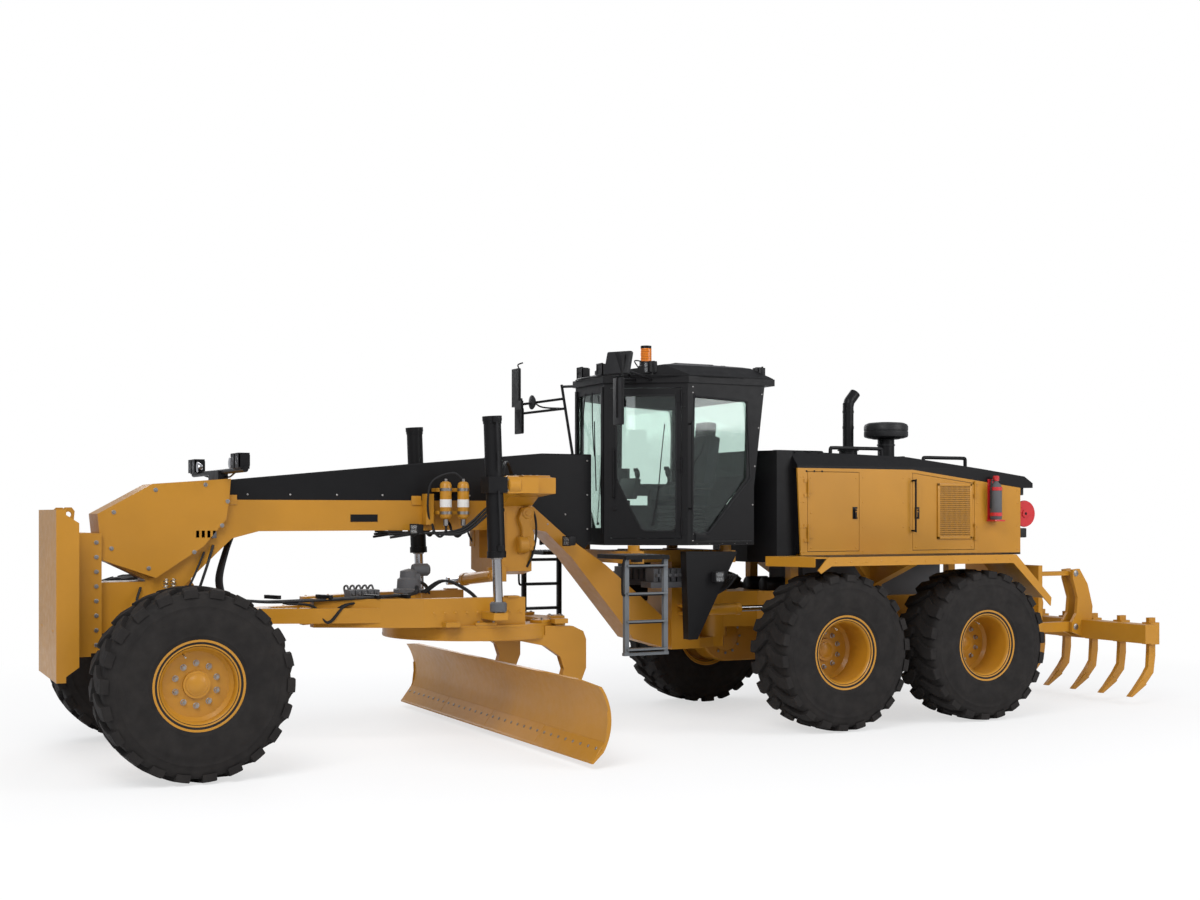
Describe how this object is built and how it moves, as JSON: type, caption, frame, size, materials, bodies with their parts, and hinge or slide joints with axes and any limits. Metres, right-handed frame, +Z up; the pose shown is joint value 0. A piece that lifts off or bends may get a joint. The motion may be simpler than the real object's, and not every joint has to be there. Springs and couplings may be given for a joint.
{
  "type": "motor grader",
  "caption": "Articulated motor grader with a long arched front frame, turning circle and curved blade, glazed cab, tandem drive wheels, push plate and rear ripper.",
  "frame": {"origin": "on the ground under the middle of the machine", "axes": "+X forward to the push plate, +Y to the machine's left, +Z up"},
  "size_m": [12.04, 4.88, 3.9861],
  "materials": {
    "golden_paint": "satin enamel",
    "black_paint": "satin enamel",
    "tyre_rubber": "matt",
    "rod_chrome": "polished",
    "tinted_glass": "tinted",
    "engine_grey": "painted casting",
    "interior_trim": "textured",
    "forged_steel": "plain"
  },
  "bodies": {
    "rear_frame": {"rear_frame": "golden_paint", "engine_block": "engine_grey", "hood_top": "black_paint", "hood_sides": "golden_paint", "stacks": "black_paint", "ripper_barrels": "black_paint"},
    "front_frame": {"front_frame": "golden_paint", "frame_cover": "black_paint", "push_plate": "golden_paint", "lift_yoke": "golden_paint", "cab_shell": "black_paint", "cab_glass": "tinted_glass", "cab_interior": "interior_trim", "cab_fittings": "black_paint"},
    "ripper_arms": {"ripper_arms": "golden_paint"},
    "ripper_links": {"ripper_links": "golden_paint"},
    "ripper_beam": {"ripper_beam": "golden_paint"},
    "ripper_rods": {"ripper_rods": "rod_chrome"},
    "axle_beam": {"axle_beam": "golden_paint"},
    "lean_bar": {"lean_bar": "golden_paint"},
    "tie_rod": {"tie_rod": "rod_chrome"},
    "drawbar_ball": {"drawbar_ball": "forged_steel"},
    "drawbar": {"drawbar": "golden_paint"},
    "circle": {"circle": "golden_paint"},
    "blade_carrier": {"blade_carrier": "golden_paint"},
    "moldboard": {"moldboard": "golden_paint"},
    "shift_barrel": {"shift_barrel": "golden_paint"},
    "shift_rod": {"shift_rod": "rod_chrome"},
    "artic_barrel_left": {"artic_barrel_left": "golden_paint"},
    "artic_rod_left": {"artic_rod_left": "rod_chrome"},
    "artic_barrel_right": {"artic_barrel_right": "golden_paint"},
    "artic_rod_right": {"artic_rod_right": "rod_chrome"},
    "hood_door_left_front": {"hood_door_left_front": "golden_paint"},
    "hood_door_left_rear": {"hood_door_left_rear": "golden_paint"},
    "hood_door_right_front": {"hood_door_right_front": "golden_paint"},
    "hood_door_right_rear": {"hood_door_right_rear": "golden_paint"},
    "cab_door_left": {"cab_door_left": "black_paint"},
    "cab_door_right": {"cab_door_right": "black_paint"},
    "tandem_left": {"tandem_left": "golden_paint"},
    "wheel_mid_left": {"rim_mid_left": "golden_paint", "tyre_mid_left": "tyre_rubber"},
    "wheel_rear_left": {"rim_rear_left": "golden_paint", "tyre_rear_left": "tyre_rubber"},
    "tandem_right": {"tandem_right": "golden_paint"},
    "wheel_mid_right": {"rim_mid_right": "golden_paint", "tyre_mid_right": "tyre_rubber"},
    "wheel_rear_right": {"rim_rear_right": "golden_paint", "tyre_rear_right": "tyre_rubber"},
    "knuckle_left": {"knuckle_left": "golden_paint"},
    "spindle_left": {"spindle_left": "golden_paint"},
    "wheel_front_left": {"rim_front_left": "golden_paint", "tyre_front_left": "tyre_rubber"},
    "knuckle_right": {"knuckle_right": "golden_paint"},
    "spindle_right": {"spindle_right": "golden_paint"},
    "wheel_front_right": {"rim_front_right": "golden_paint", "tyre_front_right": "tyre_rubber"},
    "lift_barrel_left": {"lift_barrel_left": "black_paint"},
    "lift_rod_left": {"lift_rod_left": "rod_chrome"},
    "lift_barrel_right": {"lift_barrel_right": "black_paint"},
    "lift_rod_right": {"lift_rod_right": "rod_chrome"}
  },
  "joints": [
    {"name": "articulation", "type": "hinge", "parent": "rear_frame", "child": "front_frame", "pos_m": [-0.79, 0, 1.18], "axis": [0, 0, 1], "range_deg": [-20, 20]},
    {"name": "artic_barrel_left_swing", "type": "hinge", "parent": "front_frame", "child": "artic_barrel_left", "pos_m": [-0.27, 0.45, 1.2], "axis": [0, 0, 1], "range_deg": [-10.5, 10.5]},
    {"name": "artic_rod_left_stroke", "type": "slide", "parent": "artic_barrel_left", "child": "artic_rod_left", "axis": [-1, 0, 0], "range_m": [-0.16, 0.16]},
    {"name": "artic_barrel_right_swing", "type": "hinge", "parent": "front_frame", "child": "artic_barrel_right", "pos_m": [-0.27, -0.45, 1.2], "axis": [0, 0, 1], "range_deg": [-10.5, 10.5]},
    {"name": "artic_rod_right_stroke", "type": "slide", "parent": "artic_barrel_right", "child": "artic_rod_right", "axis": [-1, 0, 0], "range_m": [-0.16, 0.16]},
    {"name": "hood_door_left_front_swing", "type": "hinge", "parent": "rear_frame", "child": "hood_door_left_front", "pos_m": [-1.537, 0.764, 2.2], "axis": [0, 0, -1], "range_deg": [0, 95]},
    {"name": "hood_door_left_rear_swing", "type": "hinge", "parent": "rear_frame", "child": "hood_door_left_rear", "pos_m": [-3.816, 0.764, 2.2], "axis": [0, 0, -1], "range_deg": [-95, 0]},
    {"name": "hood_door_right_front_swing", "type": "hinge", "parent": "rear_frame", "child": "hood_door_right_front", "pos_m": [-1.537, -0.764, 2.2], "axis": [0, 0, 1], "range_deg": [0, 95]},
    {"name": "hood_door_right_rear_swing", "type": "hinge", "parent": "rear_frame", "child": "hood_door_right_rear", "pos_m": [-3.816, -0.764, 2.2], "axis": [0, 0, 1], "range_deg": [-95, 0]},
    {"name": "cab_door_left_swing", "type": "hinge", "parent": "front_frame", "child": "cab_door_left", "pos_m": [0.03201, 0.776, 2.7], "axis": [0, 0, 1], "range_deg": [0, 80]},
    {"name": "cab_door_right_swing", "type": "hinge", "parent": "front_frame", "child": "cab_door_right", "pos_m": [0.03201, -0.776, 2.7], "axis": [0, 0, -1], "range_deg": [0, 80]},
    {"name": "tandem_left_oscillation", "type": "hinge", "parent": "rear_frame", "child": "tandem_left", "pos_m": [-2.32, 0.84, 0.88], "axis": [0, 1, 0], "range_deg": [-15, 25]},
    {"name": "wheel_mid_left_spin", "type": "hinge", "parent": "tandem_left", "child": "wheel_mid_left", "pos_m": [-1.3995, 1.3515, 0.805], "axis": [0, 1, 0], "continuous": true},
    {"name": "wheel_rear_left_spin", "type": "hinge", "parent": "tandem_left", "child": "wheel_rear_left", "pos_m": [-3.2405, 1.3515, 0.805], "axis": [0, 1, 0], "continuous": true},
    {"name": "tandem_right_oscillation", "type": "hinge", "parent": "rear_frame", "child": "tandem_right", "pos_m": [-2.32, -0.84, 0.88], "axis": [0, 1, 0], "range_deg": [-15, 25]},
    {"name": "wheel_mid_right_spin", "type": "hinge", "parent": "tandem_right", "child": "wheel_mid_right", "pos_m": [-1.3995, -1.3515, 0.805], "axis": [0, 1, 0], "continuous": true},
    {"name": "wheel_rear_right_spin", "type": "hinge", "parent": "tandem_right", "child": "wheel_rear_right", "pos_m": [-3.2405, -1.3515, 0.805], "axis": [0, 1, 0], "continuous": true},
    {"name": "ripper_lift", "type": "hinge", "parent": "rear_frame", "child": "ripper_arms", "pos_m": [-5.025, 0, 0.85], "axis": [0, 1, 0], "range_deg": [-33, 22]},
    {"name": "ripper_links_swing", "type": "hinge", "parent": "rear_frame", "child": "ripper_links", "pos_m": [-5.025, 0, 1.49], "axis": [0, 1, 0], "range_deg": [-34, 23]},
    {"name": "ripper_beam_level", "type": "hinge", "parent": "ripper_arms", "child": "ripper_beam", "pos_m": [-5.595, 0, 0.85], "axis": [0, 1, 0], "range_deg": [-23, 34]},
    {"name": "ripper_rods_stroke", "type": "slide", "parent": "rear_frame", "child": "ripper_rods", "axis": [-0.4554, 0, -0.8903], "range_m": [-0.12, 0.175]},
    {"name": "axle_oscillation", "type": "hinge", "parent": "front_frame", "child": "axle_beam", "pos_m": [5.045, 0, 1], "axis": [1, 0, 0], "range_deg": [-16, 16]},
    {"name": "wheel_lean_left", "type": "hinge", "parent": "axle_beam", "child": "knuckle_left", "pos_m": [5.045, 0.75, 0.78], "axis": [1, 0, 0], "range_deg": [-18, 18]},
    {"name": "steer_left", "type": "hinge", "parent": "knuckle_left", "child": "spindle_left", "pos_m": [5.045, 1.06, 0.805], "axis": [0, 0, 1], "range_deg": [-47.5, 47.5]},
    {"name": "wheel_front_left_spin", "type": "hinge", "parent": "spindle_left", "child": "wheel_front_left", "pos_m": [5.045, 1.3515, 0.805], "axis": [0, 1, 0], "continuous": true},
    {"name": "wheel_lean_right", "type": "hinge", "parent": "axle_beam", "child": "knuckle_right", "pos_m": [5.045, -0.75, 0.78], "axis": [1, 0, 0], "range_deg": [-18, 18]},
    {"name": "steer_right", "type": "hinge", "parent": "knuckle_right", "child": "spindle_right", "pos_m": [5.045, -1.06, 0.805], "axis": [0, 0, 1], "range_deg": [-47.5, 47.5]},
    {"name": "wheel_front_right_spin", "type": "hinge", "parent": "spindle_right", "child": "wheel_front_right", "pos_m": [5.045, -1.3515, 0.805], "axis": [0, 1, 0], "continuous": true},
    {"name": "lean_bar_shift", "type": "slide", "parent": "axle_beam", "child": "lean_bar", "axis": [0, 1, 0], "range_m": [-0.1, 0.1]},
    {"name": "tie_rod_shift", "type": "slide", "parent": "axle_beam", "child": "tie_rod", "axis": [0, 1, 0], "range_m": [-0.095, 0.095]},
    {"name": "centre_shift", "type": "hinge", "parent": "front_frame", "child": "drawbar_ball", "pos_m": [4.63, 0, 1.25], "axis": [0, 0, 1], "range_deg": [-6, 6]},
    {"name": "drawbar_lift", "type": "hinge", "parent": "drawbar_ball", "child": "drawbar", "pos_m": [4.63, 0, 1.25], "axis": [0, 1, 0], "range_deg": [-9, 7.5]},
    {"name": "lift_barrel_left_swing", "type": "hinge", "parent": "front_frame", "child": "lift_barrel_left", "pos_m": [2.2069, 1.05, 2.476], "axis": [1, 0, 0], "range_deg": [-17, 17]},
    {"name": "lift_rod_left_stroke", "type": "slide", "parent": "lift_barrel_left", "child": "lift_rod_left", "axis": [0.0361, 0, 0.9993], "range_m": [-0.4, 0.34]},
    {"name": "lift_barrel_right_swing", "type": "hinge", "parent": "front_frame", "child": "lift_barrel_right", "pos_m": [2.2069, -1.05, 2.476], "axis": [1, 0, 0], "range_deg": [-17, 17]},
    {"name": "lift_rod_right_stroke", "type": "slide", "parent": "lift_barrel_right", "child": "lift_rod_right", "axis": [0.0361, 0, 0.9993], "range_m": [-0.4, 0.34]},
    {"name": "circle_turn", "type": "hinge", "parent": "drawbar", "child": "circle", "pos_m": [1.98, 0, 1.065], "axis": [0, 0, 1], "continuous": true},
    {"name": "blade_tip", "type": "hinge", "parent": "circle", "child": "blade_carrier", "pos_m": [1.57, 0, 0.3], "axis": [0, 1, 0], "range_deg": [-5, 40]},
    {"name": "blade_side_shift", "type": "slide", "parent": "blade_carrier", "child": "moldboard", "axis": [0, -1, 0], "range_m": [-0.79, 0.74]},
    {"name": "shift_barrel_swing", "type": "hinge", "parent": "front_frame", "child": "shift_barrel", "pos_m": [1.92, 0.37, 1.6], "axis": [1, 0, 0], "range_deg": [-18, 21.5]},
    {"name": "shift_rod_stroke", "type": "slide", "parent": "shift_barrel", "child": "shift_rod", "axis": [0, -0.9964, -0.0852], "range_m": [-0.285, 0.285]}
  ],
  "couplings": [
    {"joint": "artic_barrel_left_swing", "follows": "articulation", "ratio": -0.513},
    {"joint": "artic_rod_left_stroke", "follows": "articulation", "m_per_rad": -0.448},
    {"joint": "artic_barrel_right_swing", "follows": "articulation", "ratio": -0.513},
    {"joint": "artic_rod_right_stroke", "follows": "articulation", "m_per_rad": 0.448},
    {"joint": "ripper_links_swing", "follows": "ripper_lift", "ratio": 1},
    {"joint": "ripper_beam_level", "follows": "ripper_lift", "ratio": -1},
    {"joint": "ripper_rods_stroke", "follows": "ripper_lift", "m_per_rad": -0.29527},
    {"joint": "wheel_lean_right", "follows": "wheel_lean_left", "ratio": 1},
    {"joint": "steer_right", "follows": "steer_left", "ratio": 1},
    {"joint": "lean_bar_shift", "follows": "wheel_lean_left", "m_per_rad": -0.302},
    {"joint": "tie_rod_shift", "follows": "steer_left", "m_per_rad": -0.1067},
    {"joint": "lift_barrel_left_swing", "follows": "centre_shift", "ratio": -2.18},
    {"joint": "lift_rod_left_stroke", "follows": "drawbar_lift", "m_per_rad": 2.48},
    {"joint": "lift_barrel_right_swing", "follows": "centre_shift", "ratio": -2.18},
    {"joint": "lift_rod_right_stroke", "follows": "drawbar_lift", "m_per_rad": 2.48},
    {"joint": "shift_barrel_swing", "follows": "drawbar_lift", "ratio": -2.316},
    {"joint": "shift_rod_stroke", "follows": "centre_shift", "m_per_rad": 2.7}
  ]
}
